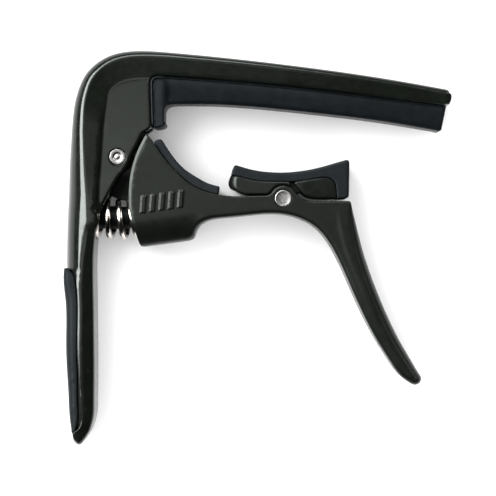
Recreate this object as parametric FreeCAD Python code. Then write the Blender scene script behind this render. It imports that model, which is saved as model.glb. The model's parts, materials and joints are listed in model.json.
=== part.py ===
"""Guitar capo with a spring-loaded lever, a swivelling neck shoe and soft pads.

The capo lies flat on its side: X and Y are the plane of its profile, Z is its thickness.
Profiles are drawn about a datum close to the hinge pin and about the mid-plane (z = 0). At the
end the whole assembly moves so that its box is centred on X = Y = 0 and rests on z = 0. All
sizes in mm.
"""
import FreeCAD, Part
import math
import os
from FreeCAD import Vector

# ---- driving dimensions ------------------------------------------------------------------
FRAME_T = 13.4            # thickness of the frame casting
PLATFORM_DROP = 0.8       # the flat hinge platform lies this deep in each frame face
LEVER_T = 12.6            # thickness of the lever casting
PAD_T = 11.0              # thickness of the rubber pads
GRIP_T = 11.6             # thickness of the handle grip
ROCKER_T = 11.4           # thickness of the shoe, right of the ears
ROCKER_WEB_T = 7.0        # thickness of the shoe's web, between the ears
TONGUE_T = 5.0            # thickness of the lever's hinge tongue
WASHER_T = 0.3            # thickness of the two hinge washers
SIDE_GAP = 0.05           # side clearance at the hinge
RUN_GAP = 0.03            # radial clearance of a pin in its bush or bore
FRAME_SLOT_T = TONGUE_T + 2 * (WASHER_T + SIDE_GAP)     # the frame's slot for the tongue

HINGE = (0.4, -0.2)       # hinge-pin axis
HINGE_PIN_D = 3.4
BUSH_D = 4.8
TONGUE_R = 5.6            # round end of the tongue
SLOT_R = 6.2              # room for it in the frame
WASHER_R = 3.3

SHOE = (34.8, -8.85)      # shoe-pin axis
SHOE_PIN_D = 3.6
EAR_R = 2.7               # round ears of the lever, about the shoe pin
WEB_R = 2.45              # round foot of the shoe's web, between the ears
WEB_SLOT_T = 7.4          # slot between the ears

SPRING_OD = 8.6
SPRING_WIRE = 1.25
SPRING_SEAT = (-4.7, -12.55)      # middle of the coil end in the frame's seat
BORE_MOUTH = (3.3, -12.95)        # middle of the bore mouth in the lever
BORE_ANGLE = 6.0                  # slope of the bore, degrees
BORE_D = 9.2
BORE_DEPTH = 9.6

BARREL_R = 6.2                    # the round barrel around the bore, below its axis
BARREL_AXIS = (5.0, -12.9)        # a point on the barrel's axis
BARREL_ANGLE = 7.4                # slope of the barrel, degrees
BARREL_LENGTH = 17.6
CUTTER_LEAD = 6.0                 # the bore's and the barrel's cutters start this far outside

PIN_CHAMFER = 0.25


def spring_slope_at_seat():
    """The coil bends as one arc that is tangent to the bore, so its two ends mirror the chord."""
    chord = math.atan2(BORE_MOUTH[1] - SPRING_SEAT[1], BORE_MOUTH[0] - SPRING_SEAT[0])
    return 2 * chord - math.radians(BORE_ANGLE)


# ---- drawing helpers ---------------------------------------------------------------------
class Profile:
    """A closed outline in the XY plane, drawn piece by piece from a start point."""

    def __init__(self, start):
        self.start = Vector(*start, 0)
        self.here = self.start
        self.edges = []

    def line(self, *points):
        for point in points:
            end = Vector(*point, 0)
            self.edges.append(Part.LineSegment(self.here, end).toShape())
            self.here = end
        return self

    def arc(self, middle, end):
        end = Vector(*end, 0)
        self.edges.append(Part.Arc(self.here, Vector(*middle, 0), end).toShape())
        self.here = end
        return self

    def curve(self, *points):
        """One smooth curve from here through the points."""
        through = [self.here] + [Vector(*point, 0) for point in points]
        spline = Part.BSplineCurve()
        spline.interpolate(through)
        self.edges.append(spline.toShape())
        self.here = through[-1]
        return self

    def prism(self, thickness, middle=0.0):
        """The closed outline as a slab, centred on z = middle."""
        if (self.here - self.start).Length > 1e-6:
            self.line((self.start.x, self.start.y))
        face = Part.Face(Part.Wire(self.edges))
        slab = face.extrude(Vector(0, 0, thickness))
        slab.translate(Vector(0, 0, middle - thickness / 2))
        return slab


def disc(centre, radius, thickness, middle=0.0):
    """A round slab about a Z axis."""
    base = Vector(centre[0], centre[1], middle - thickness / 2)
    return Part.makeCylinder(radius, thickness, base)


def rim_edges(solid, height, *points):
    """The outline edges of the faces z = +-height that pass through one of the points."""
    found = []
    for edge in solid.Edges:
        ends = [abs(vertex.Z) for vertex in edge.Vertexes]
        if max(ends) - height > 1e-4 or height - min(ends) > 1e-4 or edge.BoundBox.ZLength > 1e-3:
            continue
        z = edge.Vertexes[0].Z
        if any(edge.distToShape(Part.Vertex(x, y, z))[0] < 0.25 for x, y in points):
            found.append(edge)
    return found


def rounded(solid, height, radius, *points):
    """The solid with the edges of its two flat faces rounded where they pass the points."""
    return solid.makeFillet(radius, rim_edges(solid, height, *points))


def pin(centre, diameter, length, dimple):
    """A plain steel pin along Z, with chamfered ends and a small dimple in each end."""
    body = disc(centre, diameter / 2, length)
    body = body.makeChamfer(PIN_CHAMFER, [e for e in body.Edges if e.Closed])
    for side in (1, -1):
        tip = Vector(centre[0], centre[1], side * (length / 2 - dimple))
        cone = Part.makeCone(0, dimple, dimple, tip, Vector(0, 0, side))
        body = body.cut(cone)
    return body


# ---- frame side --------------------------------------------------------------------------
BAR_UNDERSIDE = [(8.7, 16.75), (29.9, 15.1), (48.9, 13.0), (67.9, 10.65)]
WALL_CORNER = (7.5, 16.25)
WALL_TOP = (7.1, 15.0)
WALL_FOOT = (7.35, 6.0)                # the pad's leg leans on the frame above this corner
CHEEK = [(5.85, 4.9), (4.4, 2.0), (2.8, -1.5), (0.3, -5.0), (-2.4, -9.9), (-3.9, -14.6)]
GRIP_TOP = (-10.6, -23.1)
GRIP_SEAT = [(-8.3, -25.8), (-8.0, -29.0), (-8.0, -40.0), (-7.4, -51.0), (-7.5, -56.3)]
GRIP_FOOT = (-8.9, -57.9)


def spring_seat():
    """The shallow round pocket in the handle that holds the coil's end."""
    tilt = spring_slope_at_seat()
    out = Vector(math.cos(tilt), math.sin(tilt), 0)
    floor = Vector(*SPRING_SEAT, 0) - out * 0.05
    return Part.makeCylinder(SPRING_OD / 2 + 0.3, 6.0, floor, out)


def make_frame():
    body = Profile((68.9, 13.9)).curve((60.5, 15.4), (50.4, 17.0), (40.2, 18.4), (30.0, 19.65),
                                       (19.9, 20.75), (11.0, 21.6), (4.6, 21.95), (-1.5, 20.9),
                                       (-4.5, 19.1), (-6.5, 16.95), (-8.6, 11.7), (-9.4, 5.2),
                                       (-10.2, -8.0), (-10.5, -15.0), GRIP_TOP)
    body.curve((-9.2, -24.1), GRIP_SEAT[0]).curve(*GRIP_SEAT[1:]).line(GRIP_FOOT)
    body.curve((-7.8, -60.1), (-5.6, -57.4)).curve((-4.4, -52.0), (-4.4, -40.0), (-4.6, -24.0),
                                                   CHEEK[-1])
    body.curve(*CHEEK[-2::-1]).line(WALL_FOOT, WALL_TOP)
    body.arc(WALL_CORNER, BAR_UNDERSIDE[0]).curve(*BAR_UNDERSIDE[1:])
    body.line((69.5, 10.75)).arc((69.8, 12.4), (68.9, 13.9))
    frame = body.prism(FRAME_T)
    frame = rounded(frame, FRAME_T / 2, 1.8, (11.0, 21.6))
    for side in (1, -1):
        frame = frame.cut(platform_pocket(side))
    frame = frame.cut(disc(HINGE, SLOT_R, FRAME_SLOT_T))
    sweep = Profile((HINGE[0] - SLOT_R, HINGE[1])).line((-5.6, -10.2), (9, -10.2))
    sweep.line((9, HINGE[1] + SLOT_R), (HINGE[0], HINGE[1] + SLOT_R))
    frame = frame.cut(sweep.prism(FRAME_SLOT_T))
    frame = frame.cut(disc(HINGE, HINGE_PIN_D / 2, 2 * FRAME_T))
    return frame.cut(spring_seat()).removeSplitter()


def platform_pocket(side):
    """The shallow pocket that leaves a flat platform around the hinge on one face."""
    land = Profile((6.9, 15.9)).curve((3.6, 15.6), (0.0, 14.0), (-1.8, 10.8), (-2.7, 5.0),
                                      (-3.2, -3.0), (-3.6, -9.4))
    land.line((1.0, -12.0), (9.0, 1.0), (7.2, 6.0))
    return land.prism(1.0, side * (FRAME_T / 2 - PLATFORM_DROP + 0.5))


def make_string_pad():
    """The L-shaped rubber pad: a long strip under the bar and a short leg down the frame."""
    pad = Profile(WALL_FOOT).line(WALL_TOP).arc(WALL_CORNER, BAR_UNDERSIDE[0])
    pad.curve(*BAR_UNDERSIDE[1:]).line((68.8, 10.5), (67.9, 5.6), (66.8, 5.4))
    pad.curve((59.4, 6.7), (49.4, 8.15), (39.3, 9.3), (29.2, 10.3), (13.0, 10.9))
    pad.arc((10.9, 10.6), (10.1, 9.4)).line((10.1, 7.2)).arc((9.4, 6.1), (8.4, 5.9))
    return pad.prism(PAD_T)


def make_handle_grip():
    """The soft inlay along the outer side of the handle."""
    grip = Profile(GRIP_TOP).curve((-9.2, -24.1), GRIP_SEAT[0]).curve(*GRIP_SEAT[1:])
    grip.line(GRIP_FOOT).curve((-10.1, -50.0), (-10.6, -38.0), (-10.9, -26.0), GRIP_TOP)
    slab = grip.prism(GRIP_T)
    return rounded(slab, GRIP_T / 2, 1.2, (-10.6, -38.0))


# ---- lever side --------------------------------------------------------------------------
def slot_between_ears():
    """The slot in the lever arm that the shoe's web swings in."""
    radius = WEB_R + 0.25
    cut = Profile((SHOE[0] - radius, -5.0)).line((SHOE[0] - radius, SHOE[1]))
    cut.arc((SHOE[0], SHOE[1] - radius), (SHOE[0] + radius, SHOE[1]))
    return cut.line((SHOE[0] + radius, -5.0)).prism(WEB_SLOT_T)


def spring_bore():
    rise = math.radians(BORE_ANGLE)
    inward = Vector(math.cos(rise), math.sin(rise), 0)
    start = Vector(*BORE_MOUTH, 0) - inward * CUTTER_LEAD
    return Part.makeCylinder(BORE_D / 2, BORE_DEPTH + CUTTER_LEAD, start, inward)


def outside_barrel():
    """What is cut away below the barrel's axis, so that the barrel's lower side is round."""
    rise = math.radians(BARREL_ANGLE)
    along = Vector(math.cos(rise), math.sin(rise), 0)
    start = Vector(*BARREL_AXIS, 0) - along * CUTTER_LEAD
    reach = 2 * BARREL_R
    block = Part.makeBox(BARREL_LENGTH, reach, 2 * LEVER_T, Vector(0, -reach, -LEVER_T))
    block.rotate(Vector(0, 0, 0), Vector(0, 0, 1), BARREL_ANGLE)
    block.translate(start)
    return block.cut(Part.makeCylinder(BARREL_R, BARREL_LENGTH, start, along))


PAD_SEAT = [(8.0, 2.65), (10.7, -1.2), (14.2, -4.85), (17.9, -7.05), (21.3, -8.0)]


def on_ear(angle):
    """The point of the ears' outline at an angle about the shoe pin, in degrees."""
    turn = math.radians(angle)
    return (SHOE[0] + EAR_R * math.cos(turn), SHOE[1] + EAR_R * math.sin(turn))


EAR_RIGHT, EAR_LEFT = on_ear(27), on_ear(154)


def make_lever():
    """Fan plate, spring barrel, arm with the two ears, and the curved finger trigger."""
    body = Profile((6.45, 4.6)).curve((3.9, -0.9), (2.8, -7.0), (3.1, -12.6), (4.8, -18.4))
    body.line((5.6, -18.85)).curve((10.6, -18.2), (15.3, -17.45)).line((16.6, -15.8))
    body.curve((20.6, -12.9), (26.7, -12.35), (34.2, -12.0), (39.3, -13.4), (44.3, -18.0),
               (49.4, -28.6), (54.3, -38.4), (60.2, -46.5), (62.7, -47.4), (63.2, -45.2),
               (57.0, -34.2), (51.2, -18.9), (49.1, -10.8))
    body.line((48.2, -9.35), (40.6, -9.35)).curve((38.6, -8.8), EAR_RIGHT)
    body.arc((SHOE[0], SHOE[1] + EAR_R), EAR_LEFT).line((31.6, -8.2), (25.5, -8.4), (21.3, -8.0))
    body.curve(*reversed(PAD_SEAT[:-1]))
    lever = body.prism(LEVER_T)
    lever = rounded(lever, LEVER_T / 2, 1.0, (2.8, -7.0))
    lever = lever.cut(outside_barrel())
    tongue = Profile((4.0, 3.9)).line((HINGE[0], HINGE[1] + TONGUE_R))
    tongue.arc((HINGE[0] - TONGUE_R, HINGE[1]), (-2.4, -5.05))
    tongue.line((-1.2, -8.2), (2.6, -8.5), (6.0, -8.5), (6.0, 3.9))
    lever = lever.fuse(tongue.prism(TONGUE_T))
    lever = lever.cut(disc(HINGE, BUSH_D / 2, 2 * LEVER_T))
    lever = lever.cut(disc(SHOE, SHOE_PIN_D / 2, 2 * LEVER_T))
    return lever.cut(slot_between_ears()).cut(spring_bore()).removeSplitter()


def make_lever_pad():
    """The rubber strip glued in the lever's hollow, where the edge of the neck lands."""
    pad = Profile(PAD_SEAT[0]).curve(*PAD_SEAT[1:]).line((21.5, -6.3))
    pad.curve((16.7, -4.3), (12.7, -1.1), (9.9, 2.8)).arc((9.2, 3.5), (8.2, 3.1))
    return pad.prism(PAD_T)


SHOE_TOP = [(24.0, -3.95), (26.5, -4.45), (28.2, -4.9), (30.5, -5.2), (34.5, -5.3), (38.3, -5.2),
            (41.8, -4.6)]
SHOE_ROUND = [(43.3, -4.42), (44.6, -4.65), (45.45, -5.4), (45.85, -6.8), (46.0, -8.75)]


def make_rocker():
    """The swivelling shoe: full width left and right of the ears, a thin web between them."""
    ear_gap = EAR_R + 0.25
    left = Profile(SHOE_TOP[0]).curve(*SHOE_TOP[1:5]).line((36.2, -5.3), (36.2, -6.25))
    left.arc((SHOE[0] - ear_gap * 0.6, SHOE[1] + ear_gap * 0.8), (31.95, -7.65))
    left.line((31.3, -8.0), (27.4, -8.05), (24.6, -7.0)).curve((23.4, -6.1), SHOE_TOP[0])
    block = Profile(SHOE_TOP[-2]).curve(SHOE_TOP[-1]).curve(*SHOE_ROUND)
    block.line((45.7, -8.85), (42.0, -8.85)).curve((39.3, -8.1), (37.4, -6.0)).line((37.4, -5.3))
    web = Profile((SHOE[0] - WEB_R, -5.25)).line((SHOE[0] - WEB_R, SHOE[1]))
    web.arc((SHOE[0], SHOE[1] - WEB_R), (SHOE[0] + WEB_R, SHOE[1]))
    web.line((SHOE[0] + WEB_R, -7.3), (38.4, -7.0), (38.2, -5.15))
    shoe = left.prism(ROCKER_T).fuse(block.prism(ROCKER_T)).fuse(web.prism(ROCKER_WEB_T))
    shoe = shoe.cut(disc(SHOE, SHOE_PIN_D / 2 + RUN_GAP, 2 * ROCKER_T))
    return shoe.cut(make_rocker_pad()).removeSplitter()


def make_rocker_pad():
    """The rubber pad on the shoe, hollow along its top and wrapped over the right end."""
    pad = Profile(SHOE_TOP[0]).curve(*SHOE_TOP[1:]).curve(*SHOE_ROUND).line((47.8, -8.85))
    pad.arc((48.35, -8.5), (48.5, -7.8)).line((48.6, -1.4)).arc((48.4, -0.9), (47.8, -0.8))
    pad.curve((42.4, -2.35), (35.0, -3.4), (29.0, -2.95), (25.3, -1.95))
    pad.arc((24.6, -2.1), (24.3, -2.7))
    return pad.prism(PAD_T)


def make_spring():
    """The coil spring's envelope: a tube, bent between the seat and the mouth, then straight."""
    rise = math.radians(BORE_ANGLE)
    inward = Vector(math.cos(rise), math.sin(rise), 0)
    seat, mouth = Vector(*SPRING_SEAT, 0), Vector(*BORE_MOUTH, 0)
    end = mouth + inward * (BORE_DEPTH - 0.05)
    slope = spring_slope_at_seat()
    radius = (mouth - seat).Length / 2 / math.sin((rise - slope) / 2)
    centre = mouth + Vector(-math.sin(rise), math.cos(rise), 0) * radius
    start_dir = Vector(math.cos(slope), math.sin(slope), 0)
    reach = (end - mouth).Length
    tubes = []
    for r in (SPRING_OD / 2, SPRING_OD / 2 - SPRING_WIRE):
        ring = Part.Face(Part.Wire(Part.makeCircle(r, seat, start_dir)))
        bent = ring.revolve(centre, Vector(0, 0, 1), math.degrees(rise - slope))
        tubes.append(bent.fuse(Part.makeCylinder(r, reach, mouth, inward)))
    return tubes[0].cut(tubes[1]).removeSplitter()


def make_washer(side):
    middle = side * (TONGUE_T / 2 + SIDE_GAP / 2 + WASHER_T / 2)
    ring = disc(HINGE, WASHER_R, WASHER_T, middle)
    return ring.cut(disc(HINGE, HINGE_PIN_D / 2 + RUN_GAP, 2 * FRAME_T))


def make_bush():
    bush = disc(HINGE, BUSH_D / 2, TONGUE_T)
    return bush.cut(disc(HINGE, HINGE_PIN_D / 2 + RUN_GAP, 2 * TONGUE_T))


# ---- assembly ----------------------------------------------------------------------------
PARTS = {
    "frame": make_frame(),
    "string_pad": make_string_pad(),
    "handle_grip": make_handle_grip(),
    "hinge_pin": pin(HINGE, HINGE_PIN_D, FRAME_T - 2 * PLATFORM_DROP - 0.1, 0.5),
    "hinge_bush": make_bush(),
    "hinge_washer_upper": make_washer(1),
    "hinge_washer_lower": make_washer(-1),
    "lever": make_lever(),
    "lever_pad": make_lever_pad(),
    "spring": make_spring(),
    "rocker": make_rocker(),
    "rocker_pad": make_rocker_pad(),
    "rocker_pin": pin(SHOE, SHOE_PIN_D, LEVER_T + 0.1, 0.3),
}

box = Part.makeCompound(list(PARTS.values())).optimalBoundingBox(False, False)
shift = Vector(-(box.XMin + box.XMax) / 2, -(box.YMin + box.YMax) / 2, -box.ZMin)
os.makedirs("parts", exist_ok=True)
for name, shape in PARTS.items():
    shape.translate(shift)
    shape.exportStep("parts/" + name + ".step")
    print(name, "valid", shape.isValid(), "solids", len(shape.Solids), "volume", round(shape.Volume, 1))
print("size %.2f x %.2f x %.2f" % (box.XLength, box.YLength, box.ZLength))
print("hinge axis at", [round(v, 3) for v in (HINGE[0] + shift.x, HINGE[1] + shift.y, shift.z)])
print("shoe axis at", [round(v, 3) for v in (SHOE[0] + shift.x, SHOE[1] + shift.y, shift.z)])
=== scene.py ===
"""Guitar capo, lying on its side on a pale floor: finished pieces around the fixed CAD frame.

Profiles are drawn in millimetres about a datum close to the hinge pin: u to the right, v up
towards the string bar, and z from the middle of the thickness. place() turns them into metres.
"""
import json
import math
import bpy
import numpy as np
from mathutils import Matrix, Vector
from mathutils.geometry import delaunay_2d_cdt


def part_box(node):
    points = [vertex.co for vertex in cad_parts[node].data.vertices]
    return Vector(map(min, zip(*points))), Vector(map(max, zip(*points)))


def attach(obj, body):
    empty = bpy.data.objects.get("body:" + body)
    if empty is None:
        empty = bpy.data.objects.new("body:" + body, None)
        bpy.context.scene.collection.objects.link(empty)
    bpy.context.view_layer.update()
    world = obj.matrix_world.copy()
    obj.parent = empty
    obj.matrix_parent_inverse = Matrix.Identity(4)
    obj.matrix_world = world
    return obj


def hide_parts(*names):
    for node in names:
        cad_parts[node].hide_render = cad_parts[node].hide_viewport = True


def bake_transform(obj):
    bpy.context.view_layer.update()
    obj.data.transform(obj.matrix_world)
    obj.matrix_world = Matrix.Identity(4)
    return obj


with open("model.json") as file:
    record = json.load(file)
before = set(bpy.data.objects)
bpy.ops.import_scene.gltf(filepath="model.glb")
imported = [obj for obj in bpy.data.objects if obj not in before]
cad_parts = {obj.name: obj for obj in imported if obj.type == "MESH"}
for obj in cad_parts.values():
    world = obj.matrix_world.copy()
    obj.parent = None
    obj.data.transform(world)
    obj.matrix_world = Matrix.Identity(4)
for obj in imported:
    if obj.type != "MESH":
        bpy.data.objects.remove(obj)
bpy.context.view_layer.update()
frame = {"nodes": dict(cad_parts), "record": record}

MM = 0.001
JOINTS = {joint["name"]: joint for joint in frame["record"]["behaviour"]["joints"]}
HINGE = (0.4, -0.2)                    # the hinge pin, from the datum
HINGE_AT = Vector(JOINTS["lever_hinge"]["pos_m"])
DATUM = HINGE_AT - Vector((HINGE[0], HINGE[1], 0)) * MM
SHOE_PIN = tuple(((Vector(JOINTS["rocker_pivot"]["pos_m"]) - DATUM) / MM)[:2])
SHARP = 38                             # edges that turn by more degrees than this stay sharp


def half_thickness(node):
    """How far a CAD node reaches from the middle of the thickness, in mm."""
    return (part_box(node)[1][2] - HINGE_AT.z) / MM


TOP, LEVER_TOP, SHOE_TOP, PAD_TOP, GRIP_TOP = (
    half_thickness(node) for node in ("frame", "lever", "rocker", "string_pad", "handle_grip"))


def place(u, v, z=0.0):
    return DATUM + Vector((u, v, z)) * MM


# ---- curves ----------------------------------------------------------------------------------
def spline(points, step=0.35):
    """Points about every step mm along a natural cubic curve through the given points."""
    p = np.array(points, float)
    t = np.concatenate([[0], np.cumsum(np.linalg.norm(np.diff(p, axis=0), axis=1))])
    n = len(p)
    count = max(2, int(math.ceil(t[-1] / step)) + 1)
    s = np.linspace(0, t[-1], count)
    if n == 2:
        return p[0] + (p[1] - p[0]) * (s / t[-1])[:, None]
    h = np.diff(t)
    system, right = np.eye(n), np.zeros((n, p.shape[1]))
    for i in range(1, n - 1):
        system[i, i - 1:i + 2] = h[i - 1], 2 * (h[i - 1] + h[i]), h[i]
        right[i] = 6 * ((p[i + 1] - p[i]) / h[i] - (p[i] - p[i - 1]) / h[i - 1])
    bend = np.linalg.solve(system, right)
    k = np.clip(np.searchsorted(t, s, side="right") - 1, 0, n - 2)
    a, b, w = (t[k + 1] - s)[:, None], (s - t[k])[:, None], h[k][:, None]
    return (bend[k] * a ** 3 + bend[k + 1] * b ** 3) / (6 * w) \
        + (p[k] / w - bend[k] * w / 6) * a + (p[k + 1] / w - bend[k + 1] * w / 6) * b


def arc(centre, radius, start, end, step=0.35):
    """Points on a circle's arc, from start to end in degrees."""
    count = max(3, int(abs(math.radians(end - start)) * radius / step) + 1)
    turn = np.radians(np.linspace(start, end, count))
    return np.stack([centre[0] + radius * np.cos(turn), centre[1] + radius * np.sin(turn)], 1)


def smoothstep(x):
    x = np.clip(x, 0, 1)
    return x * x * (3 - 2 * x)


class Line:
    """A polyline that answers how far points are from it, on which side, and where along it."""

    def __init__(self, points):
        self.p = np.array(points, float)
        self.a, self.d = self.p[:-1], np.diff(self.p, axis=0)
        self.length2 = np.maximum((self.d ** 2).sum(1), 1e-12)

    def nearest(self, q):
        """Distance to the line, signed side (+1 is left of it) and position as a float index."""
        distance, side, where = (np.empty(len(q)) for _ in range(3))
        for i in range(0, len(q), 2000):
            r = q[i:i + 2000, None, :] - self.a[None]
            t = np.clip((r * self.d).sum(2) / self.length2, 0, 1)
            gap = r - t[..., None] * self.d
            d2 = (gap ** 2).sum(2)
            k = d2.argmin(1)
            row = np.arange(len(k))
            distance[i:i + 2000] = np.sqrt(d2[row, k])
            cross = self.d[k, 0] * r[row, k, 1] - self.d[k, 1] * r[row, k, 0]
            side[i:i + 2000] = np.where(cross >= 0, 1.0, -1.0)
            where[i:i + 2000] = k + t[row, k]
        return distance, side, where

    def past(self, q):
        """How far points lie to the left of the line; negative on its right."""
        distance, side, _ = self.nearest(q)
        return distance * side

    def left(self, offset):
        """The line moved to its left, by one distance or by one for each point."""
        along = np.gradient(self.p, axis=0)
        across = np.stack([-along[:, 1], along[:, 0]], 1) / np.linalg.norm(along, axis=1)[:, None]
        return self.p + across * np.reshape(offset, (-1, 1))


def inside(q, loop):
    """Which points of q lie inside the closed loop."""
    x, y = q[:, 0][:, None], q[:, 1][:, None]
    a, b = loop, np.roll(loop, -1, axis=0)
    crosses = (a[:, 1] > y) != (b[:, 1] > y)
    rise = np.where(b[:, 1] == a[:, 1], 1e-12, b[:, 1] - a[:, 1])
    at = a[:, 0] + (y - a[:, 1]) * (b[:, 0] - a[:, 0]) / rise
    return ((crosses & (x < at)).sum(1) % 2) == 1


# ---- slabs with rounded edges ----------------------------------------------------------------
class Edge:
    """One run of an outline: its points, and how wide and deep its rounding is at each point.

    plain is the share of the rounding that is a plain slope, so 1 makes a chamfer.
    """

    def __init__(self, points, wide=0.3, deep=None, plain=0.0):
        self.points = spline(points)
        self.wide = self.along(points, wide)
        self.deep = self.along(points, wide if deep is None else deep)
        self.plain = self.along(points, plain)

    def along(self, points, value):
        """value at every point of the edge, where it is one number or one for each given point."""
        if np.isscalar(value):
            return np.full(len(self.points), float(value))
        places = Line(self.points).nearest(np.array(points, float))[2]
        return np.interp(np.arange(len(self.points)), places, value)


class Ridge:
    """A crease beside a casting's edge: a steep side wall outside it and a tilted facet inside.

    wide and facet are their widths. fade bends the facet: at 0 it keeps its slope up to the band
    inside it, and the larger fade is, the sooner the slope dies away.
    """
    WALL_DEPTH = 2.2                   # how deep the wall goes, as a share of its width
    WALL_SLOPE = 0.75                  # slope of the wall at the crease; it steepens outwards
    FACET_SLOPE = 0.47                 # slope of the facet at the crease with a fade of 0.35

    def __init__(self, points, wide, facet, fade=0.35):
        self.line = Line(points)
        self.wide, self.facet, self.fade = (
            np.full(len(points), value) if np.isscalar(value) else value
            for value in (wide, facet, fade))

    def drop(self, q):
        """How far the surface lies below the band inside the ridge."""
        distance, side, where = self.line.nearest(q)
        steps = np.arange(len(self.wide))
        wide, facet, fade = (np.interp(where, steps, value)
                             for value in (self.wide, self.facet, self.fade))
        out = np.clip(-distance * side / wide, 0, 1)
        steep = 1 - np.sqrt(1 - out ** 4)
        wall = self.WALL_SLOPE * out + (self.WALL_DEPTH - self.WALL_SLOPE) * steep
        left = 1 - np.clip(distance * side / facet, 0, 1)
        tilt = self.FACET_SLOPE * (1.12 - 0.34 * fade)     # one that fades sooner starts flatter
        return wide * wall + tilt * facet * left ** (1 + fade) / (1 + fade)

    def rows(self):
        """Lines of points along the crease, its wall and its facet, as features of a slab."""
        wall = [-self.wide * share for share in (0.97, 0.9, 0.78, 0.62, 0.45, 0.28)]
        facet = [self.facet * share for share in (0.3, 0.6, 0.85, 1.0, 1.3)]
        return [(self.line.p, wall + [-0.12, 0.0, 0.1] + facet)]


def outline(edges):
    """The closed loop of all edges, with the rounding's width, depth and plain share there."""
    keys = ("points", "wide", "deep", "plain")
    return [np.concatenate([getattr(edge, key)[:-1] for edge in edges]) for key in keys]


def level_at(half):
    """The height function of a slab that is equally thick all over."""
    return lambda q: np.full(len(q), half)


RING_TURNS = np.radians([12, 26, 42, 58, 74, 90])      # each gives the rounding a ring of points
THINNEST = 0.05                        # half of the least thickness of a slab, in mm


def slab_mesh(name, edges, height, holes=(), grid=0.9, features=(), fine=()):
    """A closed mesh between +height and -height, rounded down to its outline on both faces.

    height(q) gives the half thickness at points q before rounding.
    holes are (centre, radius, chamfer); features are (line, offsets) that need points beside
    them; fine are (low corner, high corner, spacing) areas with a closer grid.
    """
    loop, wide, deep, plain = outline(edges)
    border = Line(np.vstack([loop, loop[:1]]))
    hole_loops = [arc(centre, radius, 0, 360, 0.25)[:-1] for centre, radius, _ in holes]
    hole_lines = [Line(np.vstack([ring, ring[:1]])) for ring in hole_loops]

    def reach(q):
        """Distance to the outline and the rounding there; a hole's edge counts as outline."""
        d, _, k = border.nearest(q)
        i = np.floor(k).astype(int) % len(loop)
        j, f = (i + 1) % len(loop), k - np.floor(k)
        w, h, share = (value[i] * (1 - f) + value[j] * f for value in (wide, deep, plain))
        for (_, _, chamfer), line in zip(holes, hole_lines):
            near = line.nearest(q)[0]
            closer = near < np.minimum(d, chamfer * 1.5)
            d, w, h = (np.where(closer, new, old)
                       for new, old in ((near, d), (chamfer, w), (chamfer, h)))
        return d, w, h, share

    def usable(q, gap):
        """The points on the slab that are more than gap mm from its outline and holes."""
        keep = inside(q, loop)
        for ring in hole_loops:
            keep &= ~inside(q, ring)
        q = q[keep]
        return q[reach(q)[0] > gap]

    tangent = np.roll(loop, -1, axis=0) - np.roll(loop, 1, axis=0)
    normal = np.stack([-tangent[:, 1], tangent[:, 0]], 1) / np.linalg.norm(tangent, axis=1)[:, None]
    points = []
    for turn in RING_TURNS:
        offset = wide * (1 - math.cos(turn))
        ring = loop + normal * offset[:, None]
        good = inside(ring, loop)
        far = border.nearest(ring)[0]      # too little where the ring folds over in a corner
        points.append(ring[good & (far > 0.96 * offset) & (far > 0.012)])
    for (centre, radius, chamfer), ring in zip(holes, hole_loops):
        for grow in (0.5, 1.0, 2.2):
            points.append(usable(centre + (ring - centre) * (1 + grow * chamfer / radius), 0.02))
    for line, offsets in features:
        for offset in offsets:
            points.append(usable(Line(line).left(offset), 0.12))
    low, high = loop.min(0), loop.max(0)
    for a, b, spacing in [(low, high, grid)] + list(fine):
        x, y = np.meshgrid(np.arange(a[0], b[0], spacing), np.arange(a[1], b[1], spacing * 0.866))
        x[1::2] += spacing / 2
        q = usable(np.stack([x.ravel(), y.ravel()], 1), 0.1)
        d, w = reach(q)[:2]
        points.append(q[d > w + 0.25 * spacing])
    scattered = thinned(np.concatenate(points), 0.02)

    corners = [loop] + hole_loops
    chains, first = [], 0
    for ring in corners:
        chains += [(first + i, first + (i + 1) % len(ring)) for i in range(len(ring))]
        first += len(ring)
    flat = [Vector(p) for p in np.concatenate(corners + [scattered])]
    result = delaunay_2d_cdt(flat, chains, [], 1, 1e-4)
    q = np.array([tuple(p) for p in result[0]])
    faces = [face for face in result[2] if len(face) == 3]
    middle = q[np.array(faces)].mean(1)
    keep = inside(middle, loop)
    for ring in hole_loops:
        keep &= ~inside(middle, ring)
    faces = [face for face, good in zip(faces, keep) if good]

    d, w, h, share = reach(q)
    inner = np.clip(1 - d / np.maximum(w, 1e-6), 0, 1)
    z = height(q) - h * (share * inner + (1 - share) * (1 - np.sqrt(1 - inner ** 2)))
    z = np.maximum(z, THINNEST)
    top = [place(*p, zz) for p, zz in zip(q, z)]
    bottom = [place(*p, -zz) for p, zz in zip(q, z)]
    n = len(q)
    used = dict.fromkeys((a, b) for face in faces for a, b in zip(face, face[1:] + face[:1]))
    walls = [(b, a, a + n, b + n) for a, b in used if (b, a) not in used]
    mesh = bpy.data.meshes.new(name)
    under = [tuple(i + n for i in reversed(face)) for face in faces]
    mesh.from_pydata(top + bottom, [], faces + under + walls)
    mesh.validate()
    return mesh


def thinned(q, gap):
    """The first point in each cell of a square grid; the cells are gap mm wide."""
    keys = np.round(q / gap).astype(np.int64)
    _, index = np.unique(keys, axis=0, return_index=True)
    return q[np.sort(index)]


def shown(mesh, material, sharp=SHARP):
    """The mesh as a shown object of the same name, smooth but for its sharp edges."""
    obj = bpy.data.objects.new(mesh.name, mesh)
    bpy.context.scene.collection.objects.link(obj)
    mesh.materials.clear()
    mesh.materials.append(material)
    mesh.shade_smooth()
    mesh.set_sharp_from_angle(angle=math.radians(sharp))
    return obj


def piece(mesh, body, node, material, sharp=SHARP):
    """The mesh as a shown object that rides on a body and stands for a CAD node."""
    obj = shown(mesh, material, sharp)
    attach(obj, body)
    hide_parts(node)


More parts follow.
